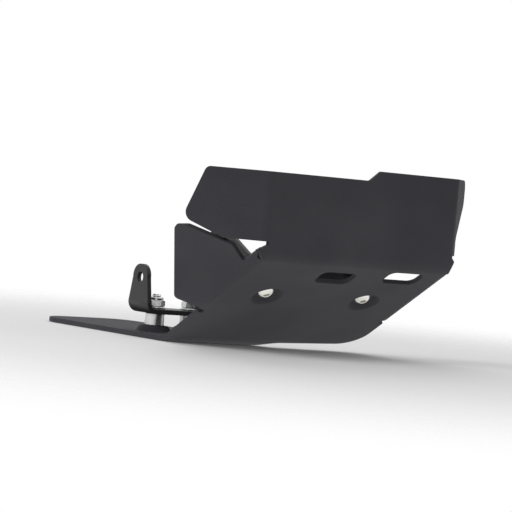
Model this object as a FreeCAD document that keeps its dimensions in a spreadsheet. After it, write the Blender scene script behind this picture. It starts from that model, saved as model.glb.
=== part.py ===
import FreeCAD, Part
import math
import os
import re
import Sketcher

# Motorcycle engine guard: one folded aluminium sheet under and in front of the engine, the two steel
# brackets that carry it and the screws, spacers, washers and lock nuts that hold it to them.
# Millimetres and degrees. +X points forward, +Y to the rider's left, +Z up, in the mounted attitude.
# The origin is the middle of the front engine bolt's axis.

SIZES = {
    # folded sheet
    "sheet_thickness": 4.0,
    "bend_radius": 6.0,
    "knee_radius": 36.0,
    "panel_tilt": 30.5,
    "panel_length": 149.7,
    "front_height": 67.0,
    "belly_length": 209.5,
    "plate_width": 185.0,
    "fold_inset": 4.2,
    "step_height": 8.0,
    "step_start": 4.0,
    "step_run": 10.0,
    "step_radius": 4.0,
    # tongue of the belly, and the lower left edge beside it
    "tongue_width": 94.5,
    "tongue_slant": 8.0,
    "tongue_corner_radius": 22.0,
    "tongue_tip_radius": 32.0,
    "tongue_root_radius": 18.0,
    "left_edge_root": 144.0,
    "left_edge_end": 136.5,
    "left_corner_radius": 23.0,
    # place of the front engine bolt, from the fold between front plate and sloping panel
    "engine_axis_along": 76.6,
    "engine_axis_height": 58.0,
    # upper wings, beside the front plate
    "wing_angle": 45.0,
    "wing_gap_height": 13.0,
    "wing_slit_start": 33.0,
    "wing_tip_length": 66.2,
    "wing_tip_height": 26.4,
    "wing_tip_radius": 8.0,
    "wing_top_length": 50.4,
    "wing_top_radius": 5.0,
    "left_wing_length": 52.0,
    "left_wing_drop": 20.0,
    "left_wing_lip": 14.0,
    "left_wing_lip_height": 26.6,
    "left_wing_radius": 9.0,
    # lower wings, beside the sloping panel
    "lower_wing_angle": 42.0,
    "lower_fold_start": 4.0,
    "lower_fold_end": 92.0,
    "notch_width": 4.0,
    "lower_lip_along": -3.0,
    "lower_lip_reach": 7.8,
    "lower_relief_along": 17.7,
    "lower_relief_reach": 8.6,
    "lower_relief_radius": 1.5,
    "ear_drop": 2.5,
    "ear_foot_height": -0.5,
    "lower_nose_along": 11.5,
    "lower_nose_reach": 24.0,
    "lower_slit_along": 28.0,
    "lower_slit_reach": 58.0,
    "lower_tip_along": 38.0,
    "lower_tip_reach": 65.0,
    "lower_heel_along": 101.5,
    "lower_heel_reach": 22.0,
    "lower_wing_radius": 4.0,
    "left_lower_along": 23.5,
    "left_lower_end": 52.0,
    "left_lower_reach": 38.0,
    # air slots in the sloping panel
    "slot_length": 33.5,
    "slot_width": 18.0,
    "slot_radius": 6.0,
    "middle_slot_along": 24.0,
    "middle_slot_side": -6.8,
    "left_slot_along": 17.0,
    "left_slot_side": 55.3,
    # pressed dimples that sink the screw heads
    "dimple_depth": 4.8,
    "dimple_width": 27.0,
    "dimple_floor_width": 19.0,
    # screw places
    "front_screw_along": 62.0,
    "front_screw_spacing": 96.0,
    "rear_screw_run": 62.0,
    "rear_screw_spacing": 34.0,
    # brackets
    "bracket_thickness": 4.0,
    "bracket_bend_radius": 5.0,
    "ear_root_height": 5.0,
    "front_bracket_width": 140.0,
    "front_bracket_length": 34.0,
    "front_ear_reach": 13.0,
    "front_ear_radius": 12.0,
    "engine_bolt_hole": 10.5,
    "rear_bracket_width": 70.0,
    "rear_bracket_length": 30.0,
    "rear_axis_height": 48.0,
    "rear_ear_reach": 11.0,
    "rear_ear_radius": 10.0,
    "rear_bolt_hole": 8.5,
    # hardware
    "screw_diameter": 8.0,
    "screw_head_width": 14.0,
    "screw_head_height": 4.4,
    "screw_crown_width": 9.2,
    "screw_crown_radius": 6.5,
    "screw_rim": 0.6,
    "screw_point": 0.8,
    "screw_proud": 2.4,
    "socket_width": 5.0,
    "socket_depth": 2.6,
    "hole_clearance": 0.5,
    "thread_clearance": 0.1,
    "spacer_width": 16.0,
    "spacer_length": 10.0,
    "washer_width": 16.0,
    "washer_thickness": 1.6,
    "nut_width": 13.0,
    "nut_hex_height": 5.6,
    "nut_height": 8.0,
    "nut_collar_width": 12.0,
    "collar_chamfer": 1.2,
    "edge_break": 0.5,
}

WORKED = {
    "half_width": "plate_width / 2",
    "fold_half": "half_width - fold_inset",
    "outer_radius": "bend_radius + sheet_thickness",
    "corner_x": "engine_axis_along * cos(panel_tilt) + engine_axis_height * sin(panel_tilt)",
    "corner_z": "engine_axis_along * sin(panel_tilt) - engine_axis_height * cos(panel_tilt)",
    "knee_x": "corner_x - panel_length * cos(panel_tilt)",
    "belly_z": "corner_z - panel_length * sin(panel_tilt)",
    "rear_x": "knee_x - belly_length",
    "side_clear": "half_width + sheet_thickness",
    "tongue_edge": "tongue_width - half_width",
    "tongue_middle": "(tongue_edge - half_width) / 2",
    "slant_spill": "tongue_slant * sheet_thickness / tongue_width",
    "left_edge_slope": "(left_edge_root - left_edge_end) / (side_clear - tongue_edge)",
    "left_corner_along": "left_edge_end + left_edge_slope * sheet_thickness",
    "right_top": "corner_z + front_height",
    "left_top": "right_top + step_height",
    "wing_foot": "corner_z + wing_gap_height",
    "wing_setback": "outer_radius * tan(wing_angle / 2)",
    "lower_setback": "outer_radius * tan(lower_wing_angle / 2)",
    "lip_side": "fold_half + lower_setback + lower_lip_reach * cos(lower_wing_angle)",
    "lip_rise": "lower_lip_reach * sin(lower_wing_angle) * cos(panel_tilt) - lower_lip_along * sin(panel_tilt)",
    "front_fold_setback": "outer_radius * tan((90 - panel_tilt) / 2)",
    "ear_top": "wing_foot - ear_drop",
    "ear_slope": "(ear_top - corner_z - lip_rise) / (lip_side - fold_half)",
    "ear_line_end": "ear_top - ear_slope * (side_clear - fold_half)",
    "front_screw_x": "corner_x - front_screw_along * cos(panel_tilt)",
    "front_screw_z": "corner_z - front_screw_along * sin(panel_tilt)",
    "front_screw_side": "front_screw_spacing / 2",
    "rear_screw_x": "knee_x - rear_screw_run",
    "rear_screw_side": "rear_screw_spacing / 2",
    "dimple_slope": "(dimple_width - dimple_floor_width) / 2 / dimple_depth",
    "dimple_skin": "sheet_thickness * tan(atan(1 / dimple_slope) / 2)",
    "hole_radius": "screw_diameter / 2 + hole_clearance",
    "boss_height": "dimple_depth + sheet_thickness",
    "bracket_front": "boss_height + spacer_length",
    "bracket_back": "bracket_front + bracket_thickness",
    "washer_back": "bracket_back + washer_thickness",
    "nut_back": "washer_back + nut_height",
    "screw_tip": "nut_back + screw_proud",
    "front_ear_along": "front_screw_along - engine_axis_along",
}

doc = FreeCAD.newDocument("engine_guard")
sizes = doc.addObject("Spreadsheet::Sheet", "Sizes")
worked = doc.addObject("Spreadsheet::Sheet", "Worked")
SHEET_OF = {}
SHEET_OF.update({name: "Sizes." + name for name in SIZES})
SHEET_OF.update({name: "Worked." + name for name in WORKED})


def tied(text):
    """Write an expression in plain size names as one that names their sheets."""
    return re.sub(r"[a-z_]+", lambda word: SHEET_OF.get(word.group(), word.group()), text)


for row, (name, number) in enumerate(SIZES.items(), start=1):
    sizes.set(f"A{row}", str(number))
    sizes.setAlias(f"A{row}", name)
doc.recompute()
for row, (name, formula) in enumerate(WORKED.items(), start=1):
    worked.setAlias(f"A{row}", name)
    worked.set(f"A{row}", "=" + tied(formula).replace("Worked.", ""))
doc.recompute()


def size(text):
    """The number that an expression in size names comes to."""
    return float(sizes.evalExpression(tied(text)))


def new_body(label):
    body = doc.addObject("PartDesign::Body", label)
    body.Label = label
    return body


def sketch_on(body, name, role, offset=None):
    """A sketch on one of the body's origin planes, moved by a placement expression."""
    plane = next(item for item in body.Origin.OriginFeatures if item.Role == role)
    sketch = body.newObject("Sketcher::SketchObject", name)
    sketch.AttachmentSupport = [(plane, "")]
    sketch.MapMode = "FlatFace"
    if offset:
        sketch.setExpression("AttachmentOffset", tied(offset))
    return sketch


def hold_point(sketch, geometry, end, across, up):
    """Tie one point of the sketch to a place given by two expressions."""
    for kind, text in (("DistanceX", across), ("DistanceY", up)):
        index = sketch.addConstraint(Sketcher.Constraint(kind, -1, 1, geometry, end, size(text)))
        sketch.setExpression(f"Constraints[{index}]", tied(text))


def draw_outline(sketch, corners):
    """Close an outline through (across, up) corners; a third entry rounds that corner."""
    count = len(corners)
    points = [FreeCAD.Vector(size(corner[0]), size(corner[1]), 0) for corner in corners]
    radii = [corner[2] if len(corner) > 2 else None for corner in corners]
    leave = []
    reach = []
    turns = []
    for i in range(count):
        ahead = (points[(i + 1) % count] - points[i]).normalize()
        behind = (points[i] - points[i - 1]).normalize()
        setback = size(radii[i]) * math.tan(behind.getAngle(ahead) / 2) if radii[i] else 0.0
        reach.append(points[i] - behind * setback)
        leave.append(points[i] + ahead * setback)
        turns.append(behind.cross(ahead).z)
    lines = []
    for i in range(count):
        lines.append(sketch.addGeometry(Part.LineSegment(leave[i], reach[(i + 1) % count])))
    for i in range(count):
        before = lines[i - 1]
        after = lines[i]
        if not radii[i]:
            sketch.addConstraint(Sketcher.Constraint("Coincident", before, 2, after, 1))
            hold_point(sketch, after, 1, corners[i][0], corners[i][1])
            continue
        behind = (points[i] - points[i - 1]).normalize()
        left_hand = turns[i] > 0
        inward = FreeCAD.Vector(-behind.y, behind.x, 0) * (1 if left_hand else -1)
        centre = reach[i] + inward * size(radii[i])
        first, last = (reach[i], leave[i]) if left_hand else (leave[i], reach[i])
        angles = [math.atan2(end.y - centre.y, end.x - centre.x) for end in (first, last)]
        circle = Part.Circle(centre, FreeCAD.Vector(0, 0, 1), size(radii[i]))
        arc = sketch.addGeometry(Part.ArcOfCircle(circle, angles[0], angles[1]))
        corner = sketch.addGeometry(Part.Point(points[i]), True)
        hold_point(sketch, corner, 1, corners[i][0], corners[i][1])
        sketch.addConstraint(Sketcher.Constraint("PointOnObject", corner, 1, before))
        sketch.addConstraint(Sketcher.Constraint("PointOnObject", corner, 1, after))
        sketch.addConstraint(Sketcher.Constraint("Tangent", before, 2, arc, 1 if left_hand else 2))
        sketch.addConstraint(Sketcher.Constraint("Tangent", arc, 2 if left_hand else 1, after, 1))
        index = sketch.addConstraint(Sketcher.Constraint("Radius", arc, size(radii[i])))
        sketch.setExpression(f"Constraints[{index}]", tied(radii[i]))


def draw_box(sketch, low_across, high_across, low_up, high_up):
    draw_outline(sketch, [
        (low_across, low_up),
        (high_across, low_up),
        (high_across, high_up),
        (low_across, high_up),
    ])


def draw_circle(sketch, across, up, radius):
    circle = Part.Circle(FreeCAD.Vector(size(across), size(up), 0), FreeCAD.Vector(0, 0, 1), size(radius))
    geometry = sketch.addGeometry(circle)
    hold_point(sketch, geometry, 3, across, up)
    index = sketch.addConstraint(Sketcher.Constraint("Radius", geometry, size(radius)))
    sketch.setExpression(f"Constraints[{index}]", tied(radius))


def draw_hexagon(sketch, width):
    """A hexagon of the given width across flats about the sketch's origin."""
    steps = range(0, 360, 60)
    corners = [(f"{width} / sqrt(3) * cos({turn})", f"{width} / sqrt(3) * sin({turn})") for turn in steps]
    draw_outline(sketch, corners)


def pad(body, name, sketch, length, reverse=False, symmetric=False):
    feature = body.newObject("PartDesign::Pad", name)
    feature.Profile = sketch
    feature.setExpression("Length", tied(length))
    feature.Reversed = reverse
    if symmetric:
        feature.SideType = "Symmetric"
    doc.recompute()
    return feature


def pocket(body, name, sketch, length=None, reverse=False):
    """Cut a sketch out of the body: both ways right through, or one way to a given depth."""
    feature = body.newObject("PartDesign::Pocket", name)
    before = body.Shape.Volume
    feature.Profile = sketch
    if length:
        feature.setExpression("Length", tied(length))
        feature.Reversed = reverse
    else:
        feature.Type = "ThroughAll"
        feature.SideType = "Symmetric"
    doc.recompute()
    if body.Shape.Volume >= before:
        raise RuntimeError(name + " cuts nothing")
    return feature


def revolve(body, name, sketch, axis, angle="360", reverse=False):
    feature = body.newObject("PartDesign::Revolution", name)
    feature.Profile = sketch
    feature.ReferenceAxis = (sketch, [axis])
    feature.setExpression("Angle", tied(angle))
    feature.Reversed = reverse
    doc.recompute()
    return feature


def groove(body, name, sketch):
    """Cut a sketch turned about its own upright axis."""
    feature = body.newObject("PartDesign::Groove", name)
    before = body.Shape.Volume
    feature.Profile = sketch
    feature.ReferenceAxis = (sketch, ["V_Axis"])
    feature.Angle = 360
    doc.recompute()
    if body.Shape.Volume >= before:
        raise RuntimeError(name + " cuts nothing")
    return feature


def round_edges(body, name, base, radius, places, along):
    """Round the straight edges that run along one direction through the given points."""
    found = []
    for number, edge in enumerate(base.Shape.Edges, start=1):
        if edge.Curve.TypeId != "Part::GeomLine" or abs(edge.Curve.Direction.dot(along)) < 0.999:
            continue
        line = Part.Line(edge.Vertexes[0].Point, edge.Vertexes[-1].Point)
        if any(line.projectPoint(place, "LowerDistance") < 0.01 for place in places):
            found.append(f"Edge{number}")
    if len(found) != len(places):
        raise RuntimeError(f"{name} found {len(found)} edges of {len(places)}")
    feature = body.newObject("PartDesign::Fillet", name)
    feature.Base = (base, found)
    feature.setExpression("Radius", tied(radius))
    doc.recompute()
    return feature


# The sloping panel's frame: along the slope from the front fold, and out of its inner face.
PANEL_SIDE = "placement(vector(corner_x; corner_z; 0); rotationz(panel_tilt))"
PANEL_FACE = "placement(vector(corner_x; 0; corner_z); rotationy(-panel_tilt))"
SIDES = {"right": 1, "left": -1}
SCREW_PLACES = {
    "front": ("front_screw_x", "0", "front_screw_z", "front_screw_side", "panel_tilt"),
    "rear": ("rear_screw_x", "tongue_middle", "belly_z", "rear_screw_side", "0"),
}


def fold_strip(body):
    """Front plate, sloping panel and belly as one bent strip."""
    profile = sketch_on(body, "strip_profile", "XZ_Plane")
    inner_corner_z = "corner_z + sheet_thickness * (1 - sin(panel_tilt)) / cos(panel_tilt)"
    draw_outline(profile, [
        ("corner_x", "left_top"),
        ("corner_x - sheet_thickness", "left_top"),
        ("corner_x - sheet_thickness", inner_corner_z, "bend_radius"),
        ("knee_x - sheet_thickness * tan(panel_tilt / 2)", "belly_z + sheet_thickness", "knee_radius"),
        ("rear_x - sheet_thickness", "belly_z + sheet_thickness"),
        ("rear_x - sheet_thickness", "belly_z"),
        ("knee_x", "belly_z", "knee_radius + sheet_thickness"),
        ("corner_x", "corner_z", "outer_radius"),
    ])
    pad(body, "strip", profile, "plate_width", symmetric=True)


def trim_strip(body):
    """Clear the edges where the wings fold up, step the top edge and cut the tongue free."""
    above = "left_top + sheet_thickness"
    front_sides = sketch_on(body, "front_sides", "YZ_Plane")
    draw_box(front_sides, "fold_half", "side_clear", "wing_foot", above)
    draw_outline(front_sides, [
        ("-fold_half", "ear_top"),
        ("-fold_half", above),
        ("-side_clear", above),
        ("-side_clear", "ear_line_end"),
    ])
    pocket(body, "front_side_cut", front_sides)

    panel_sides = sketch_on(body, "panel_sides", "XY_Plane", PANEL_FACE)
    far_end = "-lower_fold_end - notch_width"
    draw_box(panel_sides, far_end, "-lower_fold_start", "fold_half", "side_clear")
    draw_box(panel_sides, far_end, "-lower_fold_start", "-side_clear", "-fold_half")
    pocket(body, "panel_side_cut", panel_sides, "2 * sheet_thickness", reverse=True)

    step = sketch_on(body, "top_step", "YZ_Plane")
    ramp = "step_start + step_run * (step_height + sheet_thickness) / step_height"
    draw_outline(step, [
        ("-side_clear", "right_top"),
        ("step_start", "right_top", "step_radius"),
        (ramp, above),
        ("-side_clear", above),
    ])
    pocket(body, "top_step_cut", step)

    left_clear = sketch_on(body, "left_clearance", "XY_Plane", PANEL_FACE)
    draw_outline(left_clear, [
        ("-left_edge_root", "tongue_edge", "tongue_root_radius"),
        ("-left_edge_end", "side_clear"),
        ("-panel_length - belly_length", "side_clear"),
        ("-panel_length - belly_length", "tongue_edge"),
    ])
    cut = pocket(body, "left_clearance_cut", left_clear, "belly_length", reverse=True)
    left_corner = FreeCAD.Vector(
        size("corner_x - left_corner_along * cos(panel_tilt)"),
        size("half_width"),
        size("corner_z - left_corner_along * sin(panel_tilt)"))
    inward = FreeCAD.Vector(size("-sin(panel_tilt)"), 0, size("cos(panel_tilt)"))
    round_edges(body, "left_corner", cut, "left_corner_radius", [left_corner], inward)

    slant = sketch_on(body, "tongue_end", "XY_Plane")
    draw_outline(slant, [
        ("rear_x - slant_spill", "tongue_edge + sheet_thickness"),
        ("rear_x + tongue_slant + slant_spill", "-side_clear"),
        ("rear_x - tongue_slant", "-side_clear"),
        ("rear_x - tongue_slant", "tongue_edge + sheet_thickness"),
    ])
    cut = pocket(body, "tongue_end_cut", slant)
    upright = FreeCAD.Vector(0, 0, 1)
    corner = FreeCAD.Vector(size("rear_x"), size("tongue_edge"), size("belly_z"))
    cut = round_edges(body, "tongue_corner", cut, "tongue_corner_radius", [corner], upright)
    tip = FreeCAD.Vector(size("rear_x + tongue_slant"), size("-half_width"), size("belly_z"))
    round_edges(body, "tongue_tip", cut, "tongue_tip_radius", [tip], upright)


def fold_upper_wing(body, name, sign, top, outline):
    """A wing beside the front plate: an upright fold and the flat flange behind it."""
    fold_axis = f"placement(vector(corner_x - outer_radius; 0; {sign} * fold_half); rotationz(0))"
    section = sketch_on(body, name + "_upper_section", "XZ_Plane", fold_axis)
    draw_box(section, "bend_radius", "outer_radius", "wing_foot", top)
    revolve(body, name + "_upper_fold", section, "V_Axis", "wing_angle", reverse=sign > 0)
    start_x = "corner_x - outer_radius * (1 - cos(wing_angle))"
    start_y = f"{sign} * (fold_half + outer_radius * sin(wing_angle))"
    flange = f"placement(vector({start_x}; 0; {start_y}); rotationy({-sign} * (90 + wing_angle)))"
    flat = sketch_on(body, name + "_upper_flat", "XZ_Plane", flange)
    draw_outline(flat, [("0", "wing_foot")] + outline + [("0", top)])
    pad(body, name + "_upper_wing", flat, "sheet_thickness", reverse=sign < 0)


def close_right_corner(body):
    """An ear on the front plate's right edge that meets the lip of the lower wing at the corner."""
    ear = sketch_on(body, "right_ear", "YZ_Plane", "placement(vector(0; 0; corner_x); rotationz(0))")
    draw_outline(ear, [
        ("-fold_half", "ear_top"),
        ("-lip_side", "corner_z + lip_rise"),
        ("-half_width", "corner_z + ear_foot_height"),
        ("-fold_half", "corner_z + front_fold_setback"),
    ])
    pad(body, "right_corner_ear", ear, "sheet_thickness", reverse=True)


def fold_lower_wing(body, name, sign, edge):
    """A wing beside the sloping panel, folded up along the slope; the edge runs from front to heel."""
    fold_axis = PANEL_SIDE + f" * placement(vector(0; outer_radius; {sign} * fold_half); rotationz(0))"
    section = sketch_on(body, name + "_lower_section", "XZ_Plane", fold_axis)
    draw_box(section, "-lower_fold_end", "-lower_fold_start", "-outer_radius", "-bend_radius")
    revolve(body, name + "_lower_fold", section, "H_Axis", "lower_wing_angle", reverse=sign > 0)
    rise = "outer_radius * (1 - cos(lower_wing_angle))"
    start_y = f"{sign} * (fold_half + outer_radius * sin(lower_wing_angle))"
    turn = f"rotationx({sign} * (90 - lower_wing_angle))"
    flange = PANEL_SIDE + f" * placement(vector(0; {rise}; {start_y}); {turn})"
    flat = sketch_on(body, name + "_lower_flat", "XZ_Plane", flange)
    draw_outline(flat, [
        ("-lower_fold_end", "0"),
        ("-lower_fold_start", "0"),
        *[(f"-{along}", f"{reach} - lower_setback", *radius) for along, reach, *radius in edge],
        ("-lower_heel_along", "lower_heel_reach - lower_setback", "lower_wing_radius"),
    ])
    pad(body, name + "_lower_wing", flat, "sheet_thickness", reverse=sign > 0)


def cut_slot(body, name, along, side):
    """An air slot with rounded corners through the sloping panel."""
    slot = sketch_on(body, name + "_slot", "XY_Plane", PANEL_FACE)
    low, high = f"-{along} - slot_width / 2", f"-{along} + slot_width / 2"
    right, left = f"{side} - slot_length / 2", f"{side} + slot_length / 2"
    draw_outline(slot, [
        (low, right, "slot_radius"),
        (high, right, "slot_radius"),
        (high, left, "slot_radius"),
        (low, left, "slot_radius"),
    ])
    pocket(body, name + "_slot_cut", slot, "outer_radius", reverse=True)


def press_dimple(body, name, place, sign):
    """A pressed dimple that sinks one screw head, and its hole."""
    at_x, middle, at_z, side, tilt = place
    frame = f"placement(vector({at_x}; {at_z}; {sign} * {side} - {middle}); rotationz({tilt}))"
    boss = sketch_on(body, name + "_boss", "XZ_Plane", frame)
    draw_outline(boss, [
        ("0", "sheet_thickness / 2"),
        ("dimple_width / 2 + dimple_skin", "sheet_thickness / 2"),
        ("dimple_width / 2 + dimple_skin", "sheet_thickness"),
        ("dimple_floor_width / 2 + dimple_skin", "boss_height"),
        ("0", "boss_height"),
    ])
    revolve(body, name + "_press", boss, "V_Axis")
    sink = sketch_on(body, name + "_sink", "XZ_Plane", frame)
    draw_outline(sink, [
        ("0", "-sheet_thickness"),
        ("dimple_width / 2 + dimple_slope * sheet_thickness", "-sheet_thickness"),
        ("dimple_floor_width / 2", "dimple_depth"),
        ("hole_radius", "dimple_depth"),
        ("hole_radius", "boss_height + sheet_thickness"),
        ("0", "boss_height + sheet_thickness"),
    ])
    groove(body, name + "_dimple", sink)


def make_guard_plate():
    body = new_body("guard_plate")
    fold_strip(body)
    trim_strip(body)
    fold_upper_wing(body, "right", SIDES["right"], "right_top", [
        ("wing_slit_start - wing_setback", "wing_foot"),
        ("wing_tip_length - wing_setback", "corner_z + wing_tip_height", "wing_tip_radius"),
        ("wing_top_length - wing_setback", "right_top", "wing_top_radius"),
    ])
    fold_upper_wing(body, "left", SIDES["left"], "left_top", [
        ("left_wing_lip - wing_setback", "wing_foot"),
        ("left_wing_lip - wing_setback", "corner_z + left_wing_lip_height", "left_wing_radius"),
        ("left_wing_length - wing_setback", "left_top - left_wing_drop", "left_wing_radius"),
        ("left_wing_length - wing_setback", "left_top", "left_wing_radius"),
    ])
    fold_lower_wing(body, "right", SIDES["right"], [
        ("lower_lip_along", "lower_lip_reach"),
        ("lower_relief_along", "lower_relief_reach", "lower_relief_radius"),
        ("lower_nose_along", "lower_nose_reach", "lower_wing_radius"),
        ("lower_slit_along", "lower_slit_reach", "lower_wing_radius"),
        ("lower_tip_along", "lower_tip_reach", "lower_wing_radius"),
    ])
    close_right_corner(body)
    fold_lower_wing(body, "left", SIDES["left"], [
        ("lower_nose_along", "lower_nose_reach", "lower_wing_radius"),
        ("left_lower_along", "left_lower_reach", "lower_wing_radius"),
        ("left_lower_end", "left_lower_reach", "lower_wing_radius"),
    ])
    cut_slot(body, "middle", "middle_slot_along", "middle_slot_side")
    cut_slot(body, "left", "left_slot_along", "left_slot_side")
    for end, place in SCREW_PLACES.items():
        for name, sign in SIDES.items():
            press_dimple(body, f"{end}_{name}", place, sign)
    return body


def make_bracket(end, ear_along, ear_height, bolt_hole):
    """A folded steel bracket: a base across the guard and two ears that take a bolt along Y."""
    at_x, middle, at_z, screw_side, tilt = SCREW_PLACES[end]
    width, length = f"{end}_bracket_width", f"{end}_bracket_length"
    reach, radius = f"{end}_ear_reach", f"{end}_ear_radius"
    body = new_body(f"{end}_bracket")
    place = f"placement(vector({at_x}; {middle}; {at_z}); rotationy(-{tilt}))"
    body.setExpression("Placement", tied(place))
    ear = sketch_on(body, end + "_ear", "XZ_Plane")
    root = "bracket_back + ear_root_height"
    draw_outline(ear, [
        (f"-{length} / 2", "bracket_front"),
        (f"{length} / 2", "bracket_front"),
        (f"{length} / 2", root),
        (f"{ear_along} + {reach}", ear_height),
        (f"{ear_along} + {reach}", f"{ear_height} + {reach}", radius),
        (f"{ear_along} - {reach}", f"{ear_height} + {reach}", radius),
        (f"{ear_along} - {reach}", ear_height),
        (f"-{length} / 2", root),
    ])
    block = pad(body, end + "_block", ear, width, symmetric=True)
    foot = size("bracket_front")
    bends = [FreeCAD.Vector(0, side * size(width) / 2, foot) for side in SIDES.values()]
    outer_bend = "bracket_bend_radius + bracket_thickness"
    round_edges(body, end + "_bends", block, outer_bend, bends, FreeCAD.Vector(1, 0, 0))
    inside = sketch_on(body, end + "_inside", "YZ_Plane")
    inner_half = f"({width} / 2 - bracket_thickness)"
    beyond_ears = f"{ear_height} + 2 * {reach}"
    draw_outline(inside, [
        (f"-{inner_half}", "bracket_back", "bracket_bend_radius"),
        (inner_half, "bracket_back", "bracket_bend_radius"),
        (inner_half, beyond_ears),
        (f"-{inner_half}", beyond_ears),
    ])
    pocket(body, end + "_channel", inside)
    bolt = sketch_on(body, end + "_bolt", "XZ_Plane")
    draw_circle(bolt, ear_along, ear_height, f"{bolt_hole} / 2")
    pocket(body, end + "_bolt_holes", bolt)
    screws = sketch_on(body, end + "_screws", "XY_Plane")
    for sign in SIDES.values():
        draw_circle(screws, "0", f"{sign} * {screw_side}", "hole_radius")
    pocket(body, end + "_screw_holes", screws)
    return body


def make_screw(body):
    """A button-head socket screw, its head sunk in the dimple and its shank up through the stack."""
    turned = sketch_on(body, "screw_profile", "XZ_Plane")
    draw_outline(turned, [
        ("0", "dimple_depth - screw_head_height"),
        ("screw_crown_width / 2", "dimple_depth - screw_head_height", "screw_crown_radius"),
        ("screw_head_width / 2", "dimple_depth - screw_rim"),
        ("screw_head_width / 2", "dimple_depth"),
        ("screw_diameter / 2", "dimple_depth"),
        ("screw_diameter / 2", "screw_tip - screw_point"),
        ("screw_diameter / 2 - screw_point", "screw_tip"),
        ("0", "screw_tip"),
    ])
    revolve(body, "turned_screw", turned, "V_Axis")
    top = "placement(vector(0; 0; dimple_depth - screw_head_height); rotationz(0))"
    socket = sketch_on(body, "socket_profile", "XY_Plane", top)
    draw_hexagon(socket, "socket_width")
    pocket(body, "socket", socket, "socket_depth", reverse=True)


def make_ring(body, low, high, width):
    """A turned ring round the screw, with its outer edges broken."""
    ring = sketch_on(body, "ring_profile", "XZ_Plane")
    draw_outline(ring, [
        ("hole_radius", low),
        (f"{width} / 2 - edge_break", low),
        (f"{width} / 2", f"{low} + edge_break"),
        (f"{width} / 2", f"{high} - edge_break"),
        (f"{width} / 2 - edge_break", high),
        ("hole_radius", high),
    ])
    revolve(body, "turned_ring", ring, "V_Axis")


def make_nut(body):
    """A lock nut: a hexagon with a round collar that holds the locking ring."""
    hexagon = sketch_on(body, "hexagon", "XY_Plane", "placement(vector(0; 0; washer_back); rotationz(0))")
    draw_hexagon(hexagon, "nut_width")
    pad(body, "hex_body", hexagon, "nut_hex_height")
    collar = sketch_on(body, "collar_profile", "XZ_Plane")
    draw_outline(collar, [
        ("0", "washer_back + nut_hex_height / 2"),
        ("nut_collar_width / 2", "washer_back + nut_hex_height / 2"),
        ("nut_collar_width / 2", "nut_back - collar_chamfer"),
        ("nut_collar_width / 2 - collar_chamfer", "nut_back"),
        ("0", "nut_back"),
    ])
    revolve(body, "collar", collar, "V_Axis")
    bore = sketch_on(body, "bore_profile", "XY_Plane")
    draw_circle(bore, "0", "0", "screw_diameter / 2 + thread_clearance")
    pocket(body, "bore", bore)


def make_fasteners():
    """The same stack of screw, spacer, washer and lock nut at each of the four screw places."""
    bodies = []
    for end, (at_x, middle, at_z, side, tilt) in SCREW_PLACES.items():
        for name, sign in SIDES.items():
            kinds = ("screw", "spacer", "washer", "nut")
            stack = {kind: new_body(f"{end}_{kind}_{name}") for kind in kinds}
            make_screw(stack["screw"])
            make_ring(stack["spacer"], "boss_height", "bracket_front", "spacer_width")
            make_ring(stack["washer"], "bracket_back", "washer_back", "washer_width")
            make_nut(stack["nut"])
            place = f"placement(vector({at_x}; {middle} - {sign} * {side}; {at_z}); rotationy(-{tilt}))"
            for body in stack.values():
                body.setExpression("Placement", tied(place))
                bodies.append(body)
    return bodies


pieces = [make_guard_plate()]
pieces.append(make_bracket("front", "front_ear_along", "engine_axis_height", "engine_bolt_hole"))
pieces.append(make_bracket("rear", "0", "rear_axis_height", "rear_bolt_hole"))
pieces.extend(make_fasteners())
doc.recompute()

for item in doc.Objects:
    if "Invalid" in item.State or "Error" in item.State:
        raise RuntimeError(f"{item.Label} failed: {item.State}")
for piece in pieces:
    if piece.Shape.isNull() or not piece.Shape.isValid() or len(piece.Shape.Solids) != 1:
        raise RuntimeError(f"{piece.Label} isn't one valid solid")

os.makedirs("parts", exist_ok=True)
for piece in pieces:
    piece.Shape.exportStep(f"parts/{piece.Label}.step")
    box = piece.Shape.BoundBox
    print(f"{piece.Label}: {piece.Shape.Volume:.0f} mm3, x {box.XMin:.1f} to {box.XMax:.1f},"
          f" y {box.YMin:.1f} to {box.YMax:.1f}, z {box.ZMin:.1f} to {box.ZMax:.1f}")
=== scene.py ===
import math

import bmesh
import bpy
from mathutils import Matrix, Vector


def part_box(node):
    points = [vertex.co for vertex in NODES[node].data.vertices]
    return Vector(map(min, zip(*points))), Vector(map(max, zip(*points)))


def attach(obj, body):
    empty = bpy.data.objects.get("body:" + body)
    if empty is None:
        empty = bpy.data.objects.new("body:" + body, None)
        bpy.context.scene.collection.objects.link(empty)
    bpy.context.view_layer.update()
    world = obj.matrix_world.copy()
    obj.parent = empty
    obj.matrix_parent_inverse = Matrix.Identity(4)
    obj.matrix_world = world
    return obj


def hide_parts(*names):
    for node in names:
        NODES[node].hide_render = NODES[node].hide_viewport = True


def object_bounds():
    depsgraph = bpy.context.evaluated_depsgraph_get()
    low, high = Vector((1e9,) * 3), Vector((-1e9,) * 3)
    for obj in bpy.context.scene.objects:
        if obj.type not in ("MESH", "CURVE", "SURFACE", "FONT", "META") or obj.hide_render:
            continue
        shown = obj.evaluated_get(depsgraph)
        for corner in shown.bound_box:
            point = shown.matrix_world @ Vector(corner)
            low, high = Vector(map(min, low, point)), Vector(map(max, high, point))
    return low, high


# Looks of a motorcycle engine guard: a folded, powder-coated sheet on two steel brackets.
# Metres; +X points forward, +Y to the rider's left and +Z up, as in the solids.

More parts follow.
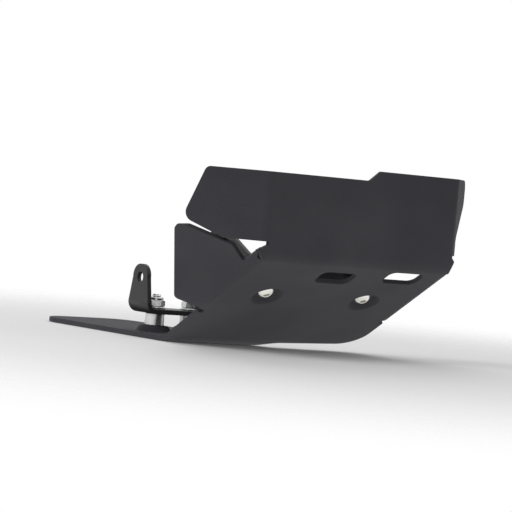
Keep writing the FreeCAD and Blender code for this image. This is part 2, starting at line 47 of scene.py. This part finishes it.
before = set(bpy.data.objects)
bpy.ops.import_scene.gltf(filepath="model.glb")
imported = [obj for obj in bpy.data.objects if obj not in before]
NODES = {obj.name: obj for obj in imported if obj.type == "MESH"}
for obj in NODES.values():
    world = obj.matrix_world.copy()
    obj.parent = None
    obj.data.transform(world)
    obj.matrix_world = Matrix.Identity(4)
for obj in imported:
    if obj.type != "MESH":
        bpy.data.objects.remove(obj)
CAD_LOW, CAD_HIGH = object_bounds()

MM = 0.001
PANEL_TILT = math.radians(30.5)

# the stack on each screw, counted inwards from the plate's outer face
DIMPLE_DEPTH = 4.8 * MM
SHEET_THICKNESS = 4.0 * MM
SPACER_LENGTH = 10.0 * MM
BRACKET_THICKNESS = 4.0 * MM
WASHER_THICKNESS = 1.6 * MM
NUT_HEIGHT = 8.0 * MM
SCREW_PROUD = 2.4 * MM
SPACER_MIDDLE = DIMPLE_DEPTH + SHEET_THICKNESS + SPACER_LENGTH / 2
WASHER_BACK = SPACER_MIDDLE + SPACER_LENGTH / 2 + BRACKET_THICKNESS + WASHER_THICKNESS
NUT_BACK = WASHER_BACK + NUT_HEIGHT
SCREW_TIP = NUT_BACK + SCREW_PROUD

# button-head screw
HEAD_RADIUS = 7.0 * MM
HEAD_HEIGHT = 4.4 * MM
HEAD_RIM = 0.6 * MM
HEAD_RINGS = 14
SOCKET_WIDTH = 5.0 * MM
SOCKET_DEPTH = 2.6 * MM
SOCKET_POINT = 0.7 * MM
SOCKET_CHAMFER = 0.35 * MM
THREAD_RADIUS = 4.0 * MM
THREAD_DEPTH = 0.65 * MM
THREAD_PITCH = 1.25 * MM
THREAD_START = 3.0 * MM
RINGS_PER_TURN = 8
TIP_CHAMFER = 0.8 * MM

# lock nut
NUT_WIDTH = 13.0 * MM
NUT_HEX_HEIGHT = 5.6 * MM
NUT_FACE_RADIUS = 6.1 * MM
NUT_CHAMFER_SLOPE = math.tan(math.radians(60))
NUT_CHAMFER_STEPS = (0.0, 0.2, 0.4, 0.6, 0.8, 1.0)
COLLAR_RADIUS = 6.0 * MM
COLLAR_ROUND = 1.2 * MM
COLLAR_STEPS = 5
RING_RADIUS = 4.9 * MM
RING_SINK = 0.25 * MM
NUT_BORE = 4.1 * MM

# turned pieces
SEGMENTS = 72
SHARP_ANGLE = math.radians(32)

# rounded cut edges; the guard's two folded front corners stay sharp,
# because the edges there are too short to round
GUARD_EDGE_ROUND = 0.6 * MM
BRACKET_EDGE_ROUND = 0.45 * MM
ROUND_STEPS = 3
EDGE_ANGLE = math.radians(28)
FLAT_ANGLE = math.radians(0.6)
WELD_REACH = 0.002 * MM
SHARP_CORNERS = (Vector((86, -98, -8)) * MM, Vector((90, 92, -10)) * MM)
SHARP_REACH = 20 * MM
ROUND_MARK = "bevel_weight_edge"

# finishes: noise scales per metre, roughness from smooth to rough, bump strength and height
NOISE_LOW = 0.3
NOISE_HIGH = 0.7
COAT_CLOUDS = 17.0
COAT_PEEL = 420.0
COAT_GRAIN = 1300.0
COAT_GRAIN_SHARE = 0.45
COAT_PEEL_BUMP = (0.2, 0.15 * MM)
COAT_GRAIN_BUMP = (0.5, 0.07 * MM)
GUARD_DARK = (0.0300, 0.0293, 0.0355)
GUARD_LIGHT = (0.0466, 0.0459, 0.0526)
GUARD_ROUGHNESS = (0.62, 0.74)
GUARD_GLOSS = 0.06
BRACKET_DARK = (0.013, 0.013, 0.014)
BRACKET_LIGHT = (0.020, 0.020, 0.021)
BRACKET_ROUGHNESS = (0.44, 0.56)
BRACKET_GLOSS = 0.3
STEEL_DARK = (0.60, 0.59, 0.57)
STEEL_LIGHT = (0.70, 0.69, 0.67)
STEEL_ROUGHNESS = (0.16, 0.30)
STEEL_CLOUDS = 260.0
STEEL_RINGS = 5200.0
STEEL_RING_BUMP = (0.12, 0.02 * MM)
ZINC_DARK = (0.42, 0.43, 0.45)
ZINC_LIGHT = (0.58, 0.58, 0.57)
ZINC_ROUGHNESS = (0.24, 0.42)
ZINC_CLOUDS = 310.0
ZINC_SCRATCHES = 1500.0
ZINC_SCRATCH_BUMP = (0.08, 0.03 * MM)
NYLON_DARK = (0.52, 0.53, 0.50)
NYLON_LIGHT = (0.66, 0.66, 0.62)
NYLON_ROUGHNESS = (0.42, 0.55)
NYLON_CLOUDS = 900.0
NYLON_DEPTH = 0.1

# camera, solved from the photograph's own frame of 512 pixels
PHOTO_SIZE = 512
CAMERA_PLACE = Vector((1.8239, -1.3080, 0.0356))
CAMERA_YAW = 0.6344
CAMERA_PITCH = -0.009
CAMERA_ROLL = 0.0905
FOCAL_PIXELS = 1169.6
AIM_PIXEL = (226.5, 268.0)
ZOOM = 2.36
SENSOR_WIDTH = 36.0

# floor: solid near the part, gone further out, with a slightly warm glow that only the part sees
FLOOR_RADIUS = 1.2
FLOOR_SIDES = 96
FLOOR_SOLID = 0.25
FLOOR_GONE = 0.85
FLOOR_DROP = 0.2 * MM
FLOOR_COLOUR = (0.80, 0.80, 0.80, 1)
FLOOR_ROUGHNESS = 0.7
FLOOR_GLOSS = 0.2
FLOOR_GLOW = 0.68
FLOOR_GLOW_COLOUR = (1.0, 0.99, 0.93, 1)
SURROUND_LIGHT = 0.37
WHITE = (1, 1, 1, 1)


def turned(name, rings, closed=False):
    """A mesh of rings round the Z axis; a ring's radius may depend on the angle, and 0 is a point."""
    builder = bmesh.new()
    loops = []
    for radius, height in rings:
        if radius == 0:
            loops.append([builder.verts.new((0, 0, height))])
            continue
        loop = []
        for step in range(SEGMENTS):
            angle = 2 * math.pi * step / SEGMENTS
            reach = radius(angle) if callable(radius) else radius
            loop.append(builder.verts.new((reach * math.cos(angle), reach * math.sin(angle), height)))
        loops.append(loop)
    pairs = list(zip(loops, loops[1:]))
    if closed:
        pairs.append((loops[-1], loops[0]))
    for index, (lower, upper) in enumerate(pairs):
        for step in range(SEGMENTS):
            after = (step + 1) % SEGMENTS
            corners = [lower[step % len(lower)], lower[after % len(lower)]]
            corners += [upper[after % len(upper)], upper[step % len(upper)]]
            face = builder.faces.new(list(dict.fromkeys(corners)))
            face.material_index = index
    bmesh.ops.recalc_face_normals(builder, faces=builder.faces)
    mesh = bpy.data.meshes.new(name)
    builder.to_mesh(mesh)
    builder.free()
    mesh.shade_smooth()
    mesh.set_sharp_from_angle(angle=SHARP_ANGLE)
    piece = bpy.data.objects.new(name, mesh)
    bpy.context.scene.collection.objects.link(piece)
    return piece


def hexagon(width):
    """The radius of a hexagon of that width across flats, at each angle."""
    sector = math.pi / 3
    return lambda angle: width / 2 / math.cos(angle % sector - sector / 2)


def screw_rings():
    """Rings of a button-head screw from its socket's floor, over the head and up the thread."""
    top = DIMPLE_DEPTH - HEAD_HEIGHT
    floor = top + SOCKET_DEPTH
    drop = HEAD_HEIGHT - HEAD_RIM
    dome = (HEAD_RADIUS ** 2 + drop ** 2) / (2 * drop)
    mouth = SOCKET_WIDTH / math.sqrt(3) + SOCKET_CHAMFER / 2
    mouth_height = top + dome - math.sqrt(dome ** 2 - mouth ** 2)
    rings = [(0, floor + SOCKET_POINT), (hexagon(SOCKET_WIDTH), floor)]
    rings.append((hexagon(SOCKET_WIDTH), mouth_height + SOCKET_CHAMFER))
    for step in range(HEAD_RINGS + 1):
        radius = mouth + (HEAD_RADIUS - mouth) * step / HEAD_RINGS
        rings.append((radius, top + dome - math.sqrt(dome ** 2 - radius ** 2)))
    rings.append((HEAD_RADIUS, DIMPLE_DEPTH))
    rings.append((THREAD_RADIUS, DIMPLE_DEPTH))
    thread_foot = DIMPLE_DEPTH + THREAD_START
    thread_end = SCREW_TIP - TIP_CHAMFER
    count = round((thread_end - thread_foot) / THREAD_PITCH * RINGS_PER_TURN)
    for step in range(count + 1):
        rise = (thread_end - thread_foot) * step / count
        depth = THREAD_DEPTH * min(1.0, rise / THREAD_PITCH)
        rings.append((thread_radius(rise, depth), thread_foot + rise))
    rings.append((THREAD_RADIUS - TIP_CHAMFER, SCREW_TIP))
    rings.append((0, SCREW_TIP))
    return rings


def thread_radius(rise, depth):
    """The radius round a helical thread at one height."""
    def radius(angle):
        phase = (rise / THREAD_PITCH - angle / (2 * math.pi)) % 1.0
        return THREAD_RADIUS - depth * abs(2 * phase - 1)
    return radius


def nut_rings():
    """Rings of a lock nut from its bore's foot, up the hexagon and collar to the locking ring."""
    top = WASHER_BACK + NUT_HEX_HEIGHT
    chamfers = [step * MM for step in NUT_CHAMFER_STEPS]
    rings = [(NUT_BORE, WASHER_BACK)]
    rings += [(chamfered(rise), WASHER_BACK + rise) for rise in chamfers]
    rings += [(chamfered(rise), top - rise) for rise in reversed(chamfers)]
    rings.append((COLLAR_RADIUS, top))
    for step in range(COLLAR_STEPS + 1):
        turn = math.pi / 2 * step / COLLAR_STEPS
        radius = COLLAR_RADIUS - COLLAR_ROUND * (1 - math.cos(turn))
        rings.append((radius, NUT_BACK - COLLAR_ROUND * (1 - math.sin(turn))))
    rings.append((RING_RADIUS - RING_SINK, NUT_BACK - RING_SINK))
    rings.append((NUT_BORE, NUT_BACK - RING_SINK))
    return rings


def chamfered(rise):
    """The nut's hexagon, cut back by the cone of its chamfer at that distance from an end."""
    hexagonal = hexagon(NUT_WIDTH)
    return lambda angle: min(hexagonal(angle), NUT_FACE_RADIUS + rise * NUT_CHAMFER_SLOPE)


class Shader:
    """A procedural material with its principled shader and a few short ways to add nodes."""

    def __init__(self, name):
        self.material = bpy.data.materials.new(name)
        self.material.use_nodes = True
        self.tree = self.material.node_tree
        self.surface = self.tree.nodes["Principled BSDF"]
        self.place = self.node("ShaderNodeTexCoord").outputs["Object"]

    def node(self, kind, **inputs):
        """A new node with some of its inputs set."""
        made = self.tree.nodes.new(kind)
        for name, value in inputs.items():
            made.inputs[name].default_value = value
        return made

    def link(self, source, target):
        self.tree.links.new(source, target)

    def noise(self, scale, detail=2.0, place=None):
        made = self.node("ShaderNodeTexNoise", Scale=scale, Detail=detail)
        self.link(place or self.place, made.inputs["Vector"])
        return made.outputs["Fac"]

    def spread(self, source, low, high):
        """Carry a noise's middle range to values between low and high."""
        made = self.node("ShaderNodeMapRange")
        made.inputs["From Min"].default_value = NOISE_LOW
        made.inputs["From Max"].default_value = NOISE_HIGH
        made.inputs["To Min"].default_value = low
        made.inputs["To Max"].default_value = high
        self.link(source, made.inputs["Value"])
        return made.outputs["Result"]

    def tone(self, source, dark, light):
        """Carry a noise's middle range to colours between dark and light."""
        made = self.node("ShaderNodeValToRGB")
        made.color_ramp.elements[0].position = NOISE_LOW
        made.color_ramp.elements[0].color = (*dark, 1)
        made.color_ramp.elements[1].position = NOISE_HIGH
        made.color_ramp.elements[1].color = (*light, 1)
        self.link(source, made.inputs["Fac"])
        return made.outputs["Color"]

    def blend(self, first, second, share):
        """A mix of two textures, with the second one's share."""
        made = self.node("ShaderNodeMix")
        made.inputs["Factor"].default_value = share
        self.link(first, made.inputs["A"])
        self.link(second, made.inputs["B"])
        return made.outputs["Result"]

    def bump(self, source, strength, distance, under=None):
        """A bump, where asked on top of another one."""
        made = self.node("ShaderNodeBump", Strength=strength, Distance=distance)
        self.link(source, made.inputs["Height"])
        if under:
            self.link(under, made.inputs["Normal"])
        return made.outputs["Normal"]


def powder_coat(name, dark, light, roughness, gloss):
    """A fine-textured satin powder coat: tiny grains over a slow orange peel, with cloudy tone."""
    coat = Shader(name)
    clouds = coat.noise(COAT_CLOUDS, detail=3.0)
    peel = coat.noise(COAT_PEEL, detail=1.0)
    grain = coat.noise(COAT_GRAIN)
    mottle = coat.blend(clouds, grain, COAT_GRAIN_SHARE)
    coat.link(coat.tone(mottle, dark, light), coat.surface.inputs["Base Color"])
    coat.link(coat.spread(grain, *roughness), coat.surface.inputs["Roughness"])
    coat.surface.inputs["Specular IOR Level"].default_value = gloss
    soft = coat.bump(peel, *COAT_PEEL_BUMP)
    coat.link(coat.bump(grain, *COAT_GRAIN_BUMP, under=soft), coat.surface.inputs["Normal"])
    return coat.material


def turned_steel(name):
    """Bright steel with the fine rings that turning leaves round its own Z axis."""
    steel = Shader(name)
    steel.surface.inputs["Metallic"].default_value = 1.0
    apart = steel.node("ShaderNodeSeparateXYZ")
    steel.link(steel.place, apart.inputs["Vector"])
    across = steel.node("ShaderNodeCombineXYZ")
    steel.link(apart.outputs["X"], across.inputs["X"])
    steel.link(apart.outputs["Y"], across.inputs["Y"])
    radius = steel.node("ShaderNodeVectorMath")
    radius.operation = "LENGTH"
    steel.link(across.outputs["Vector"], radius.inputs[0])
    profile = steel.node("ShaderNodeCombineXYZ")
    steel.link(radius.outputs["Value"], profile.inputs["X"])
    steel.link(apart.outputs["Z"], profile.inputs["Y"])
    rings = steel.noise(STEEL_RINGS, place=profile.outputs["Vector"])
    clouds = steel.noise(STEEL_CLOUDS)
    steel.link(steel.tone(clouds, STEEL_DARK, STEEL_LIGHT), steel.surface.inputs["Base Color"])
    steel.link(steel.spread(rings, *STEEL_ROUGHNESS), steel.surface.inputs["Roughness"])
    steel.link(steel.bump(rings, *STEEL_RING_BUMP), steel.surface.inputs["Normal"])
    return steel.material


def zinc_plate(name):
    """Zinc plating: a cool grey metal with a faint cloudy bloom."""
    zinc = Shader(name)
    zinc.surface.inputs["Metallic"].default_value = 1.0
    clouds = zinc.noise(ZINC_CLOUDS, detail=4.0)
    scratches = zinc.noise(ZINC_SCRATCHES, detail=3.0)
    zinc.link(zinc.tone(clouds, ZINC_DARK, ZINC_LIGHT), zinc.surface.inputs["Base Color"])
    zinc.link(zinc.spread(clouds, *ZINC_ROUGHNESS), zinc.surface.inputs["Roughness"])
    zinc.link(zinc.bump(scratches, *ZINC_SCRATCH_BUMP), zinc.surface.inputs["Normal"])
    return zinc.material


def nylon(name):
    """The nut's locking ring: milky nylon."""
    ring = Shader(name)
    clouds = ring.noise(NYLON_CLOUDS)
    ring.link(ring.tone(clouds, NYLON_DARK, NYLON_LIGHT), ring.surface.inputs["Base Color"])
    ring.link(ring.spread(clouds, *NYLON_ROUGHNESS), ring.surface.inputs["Roughness"])
    ring.surface.inputs["Subsurface Weight"].default_value = NYLON_DEPTH
    return ring.material


def math_node(tree, operation, first, second):
    """The result of a math node on two sockets or numbers."""
    made = tree.nodes.new("ShaderNodeMath")
    made.operation = operation
    for index, value in enumerate((first, second)):
        if isinstance(value, bpy.types.NodeSocket):
            tree.links.new(value, made.inputs[index])
        else:
            made.inputs[index].default_value = value
    return made.outputs["Value"]


def make_round_choice():
    """Node group that marks the sharp edges to round, except by the guard's folded front corners."""
    group = bpy.data.node_groups.new("round_choice", "GeometryNodeTree")
    group.interface.new_socket("Geometry", in_out="INPUT", socket_type="NodeSocketGeometry")
    group.interface.new_socket("Geometry", in_out="OUTPUT", socket_type="NodeSocketGeometry")
    given = group.nodes.new("NodeGroupInput")
    result = group.nodes.new("NodeGroupOutput")
    fold = group.nodes.new("GeometryNodeInputMeshEdgeAngle")
    chosen = math_node(group, "GREATER_THAN", fold.outputs["Unsigned Angle"], EDGE_ANGLE)
    ends = group.nodes.new("GeometryNodeInputMeshEdgeVertices")
    for corner in SHARP_CORNERS:
        for point in ("Position 1", "Position 2"):
            away = group.nodes.new("ShaderNodeVectorMath")
            away.operation = "DISTANCE"
            away.inputs[1].default_value = corner
            group.links.new(ends.outputs[point], away.inputs[0])
            clear = math_node(group, "GREATER_THAN", away.outputs["Value"], SHARP_REACH)
            chosen = math_node(group, "MULTIPLY", chosen, clear)
    mark = group.nodes.new("GeometryNodeStoreNamedAttribute")
    mark.data_type = "FLOAT"
    mark.domain = "EDGE"
    mark.inputs["Name"].default_value = ROUND_MARK
    group.links.new(given.outputs["Geometry"], mark.inputs["Geometry"])
    group.links.new(chosen, mark.inputs["Value"])
    group.links.new(mark.outputs["Geometry"], result.inputs["Geometry"])
    return group


def dress(name, material):
    """Give a solid its finish."""
    node = NODES[name]
    node.data.materials.clear()
    node.data.materials.append(material)


def round_edges(name, width, choice):
    """Round a solid's cut edges, after joining the triangles of each flat."""
    node = NODES[name]
    weld = node.modifiers.new("weld", "WELD")
    weld.merge_threshold = WELD_REACH
    flats = node.modifiers.new("whole_flats", "DECIMATE")
    flats.decimate_type = "DISSOLVE"
    flats.angle_limit = FLAT_ANGLE
    marks = node.modifiers.new("round_choice", "NODES")
    marks.node_group = choice
    bevel = node.modifiers.new("edge_round", "BEVEL")
    bevel.width = width
    bevel.segments = ROUND_STEPS
    bevel.limit_method = "WEIGHT"
    bevel.edge_weight = ROUND_MARK
    bevel.harden_normals = True
    bevel.use_clamp_overlap = False


def stack_place(end, side):
    """The frame of one screw: on the plate's outer face, +Z inwards along the screw."""
    low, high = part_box(f"{end}_spacer_{side}")
    tilt = PANEL_TILT if end == "front" else 0.0
    inwards = Vector((-math.sin(tilt), 0, math.cos(tilt)))
    origin = (low + high) / 2 - inwards * SPACER_MIDDLE
    return Matrix.Translation(origin) @ Matrix.Rotation(-tilt, 4, "Y")


def add_screw(end, side, steel):
    """A button-head screw with its socket and thread."""
    piece = turned(f"{end}_button_screw_{side}", screw_rings())
    piece.data.materials.append(steel)
    for face in piece.data.polygons:
        face.material_index = 0
    seat(piece, end, side, "screw")


def add_nut(end, side, zinc, locking_ring):
    """A lock nut; the band between its last two rings is the locking ring."""
    rings = nut_rings()
    piece = turned(f"{end}_lock_nut_{side}", rings, closed=True)
    locking_band = len(rings) - 2
    piece.data.materials.append(zinc)
    piece.data.materials.append(locking_ring)
    for face in piece.data.polygons:
        face.material_index = 1 if face.material_index == locking_band else 0
    seat(piece, end, side, "nut")


def seat(piece, end, side, kind):
    """Set a fastener on its stack, in place of the plain solid."""
    piece.matrix_world = stack_place(end, side)
    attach(piece, "root")
    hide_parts(f"{end}_{kind}_{side}")


def make_floor():
    """A pale light table, which brightens the underside and fades out to the white surround."""
    bpy.ops.mesh.primitive_circle_add(
        vertices=FLOOR_SIDES,
        radius=FLOOR_RADIUS,
        fill_type="NGON",
        location=(0, 0, CAD_LOW.z - FLOOR_DROP),
    )
    floor = bpy.context.object
    floor.name = "floor"
    paper = Shader("pale_floor")
    paper.surface.inputs["Base Color"].default_value = FLOOR_COLOUR
    paper.surface.inputs["Roughness"].default_value = FLOOR_ROUGHNESS
    paper.surface.inputs["Specular IOR Level"].default_value = FLOOR_GLOSS
    away = paper.node("ShaderNodeVectorMath")
    away.operation = "LENGTH"
    paper.link(paper.place, away.inputs[0])
    fade = paper.node("ShaderNodeMapRange")
    fade.interpolation_type = "SMOOTHSTEP"
    fade.inputs["From Min"].default_value = FLOOR_SOLID
    fade.inputs["From Max"].default_value = FLOOR_GONE
    paper.link(away.outputs["Value"], fade.inputs["Value"])
    rays = paper.node("ShaderNodeLightPath")
    glow = paper.node("ShaderNodeMapRange")
    glow.inputs["To Min"].default_value = FLOOR_GLOW
    glow.inputs["To Max"].default_value = 0.0
    paper.link(rays.outputs["Is Camera Ray"], glow.inputs["Value"])
    paper.surface.inputs["Emission Color"].default_value = FLOOR_GLOW_COLOUR
    paper.link(glow.outputs["Result"], paper.surface.inputs["Emission Strength"])
    clear = paper.node("ShaderNodeBsdfTransparent")
    mix = paper.node("ShaderNodeMixShader")
    paper.link(fade.outputs["Result"], mix.inputs["Fac"])
    paper.link(paper.surface.outputs["BSDF"], mix.inputs[1])
    paper.link(clear.outputs["BSDF"], mix.inputs[2])
    paper.link(mix.outputs["Shader"], paper.tree.nodes["Material Output"].inputs["Surface"])
    floor.data.materials.append(paper.material)


def make_surround():
    """A surround that the camera and mirrors see at full white, and that lights the part softly."""
    world = bpy.data.worlds.new("surround")
    bpy.context.scene.world = world
    world.use_nodes = True
    tree = world.node_tree
    rays = tree.nodes.new("ShaderNodeLightPath")
    glossy = rays.outputs["Is Glossy Ray"]
    mirrored = math_node(tree, "MAXIMUM", glossy, rays.outputs["Is Transmission Ray"])
    seen = math_node(tree, "MAXIMUM", rays.outputs["Is Camera Ray"], mirrored)
    strength = tree.nodes.new("ShaderNodeMapRange")
    strength.inputs["To Min"].default_value = SURROUND_LIGHT
    strength.inputs["To Max"].default_value = 1.0
    tree.links.new(seen, strength.inputs["Value"])
    background = tree.nodes["Background"]
    background.inputs["Color"].default_value = WHITE
    tree.links.new(strength.outputs["Result"], background.inputs["Strength"])


def add_softbox(name, place, width, height, power):
    """A soft rectangular lamp aimed at the middle of the part."""
    lamp = bpy.data.lights.new(name, "AREA")
    lamp.shape = "RECTANGLE"
    lamp.size = width
    lamp.size_y = height
    lamp.energy = power
    holder = bpy.data.objects.new(name, lamp)
    bpy.context.scene.collection.objects.link(holder)
    middle = (CAD_LOW + CAD_HIGH) / 2
    holder.location = place
    holder.rotation_euler = (middle - holder.location).to_track_quat("-Z", "Y").to_euler()


def make_camera():
    """The photograph's own viewpoint, turned to the part and with a longer lens."""
    sight = Vector((
        -math.cos(CAMERA_YAW) * math.cos(CAMERA_PITCH),
        math.sin(CAMERA_YAW) * math.cos(CAMERA_PITCH),
        math.sin(CAMERA_PITCH),
    ))
    level = Vector((math.sin(CAMERA_YAW), math.cos(CAMERA_YAW), 0))
    upright = level.cross(sight)
    right = level * math.cos(CAMERA_ROLL) + upright * math.sin(CAMERA_ROLL)
    up = upright * math.cos(CAMERA_ROLL) - level * math.sin(CAMERA_ROLL)
    across = AIM_PIXEL[0] - PHOTO_SIZE / 2
    down = AIM_PIXEL[1] - PHOTO_SIZE / 2
    aim = (sight * FOCAL_PIXELS + right * across - up * down).normalized()
    right = (right - aim * right.dot(aim)).normalized()
    up = right.cross(aim)
    data = bpy.data.cameras.new("camera")
    data.sensor_width = SENSOR_WIDTH
    data.lens = ZOOM * FOCAL_PIXELS / PHOTO_SIZE * SENSOR_WIDTH
    camera = bpy.data.objects.new("camera", data)
    bpy.context.scene.collection.objects.link(camera)
    turn = Matrix((right, up, -aim)).transposed().to_4x4()
    camera.matrix_world = Matrix.Translation(CAMERA_PLACE) @ turn
    bpy.context.scene.camera = camera


guard_coat = powder_coat(
    "guard_powder_coat", GUARD_DARK, GUARD_LIGHT, GUARD_ROUGHNESS, GUARD_GLOSS,
)
bracket_coat = powder_coat(
    "bracket_black", BRACKET_DARK, BRACKET_LIGHT, BRACKET_ROUGHNESS, BRACKET_GLOSS,
)
stainless = turned_steel("bright_stainless")
zinc = zinc_plate("zinc_plating")
locking_ring = nylon("locking_nylon")

round_choice = make_round_choice()
dress("guard_plate", guard_coat)
round_edges("guard_plate", GUARD_EDGE_ROUND, round_choice)
for bracket in ("front_bracket", "rear_bracket"):
    dress(bracket, bracket_coat)
    round_edges(bracket, BRACKET_EDGE_ROUND, round_choice)
for end in ("front", "rear"):
    for side in ("right", "left"):
        dress(f"{end}_spacer_{side}", zinc)
        dress(f"{end}_washer_{side}", zinc)
        add_screw(end, side, stainless)
        add_nut(end, side, zinc, locking_ring)

make_floor()
make_surround()
add_softbox("key", place=Vector((0.2, -1.7, 1.1)), width=1.6, height=1.2, power=21.0)
add_softbox("fill", place=Vector((0.8, 0.75, 0.45)), width=0.7, height=0.7, power=2.6)
add_softbox("back", place=Vector((-1.4, 0.5, 1.5)), width=1.6, height=1.6, power=12.0)
make_camera()
bpy.context.scene.view_settings.view_transform = "Standard"
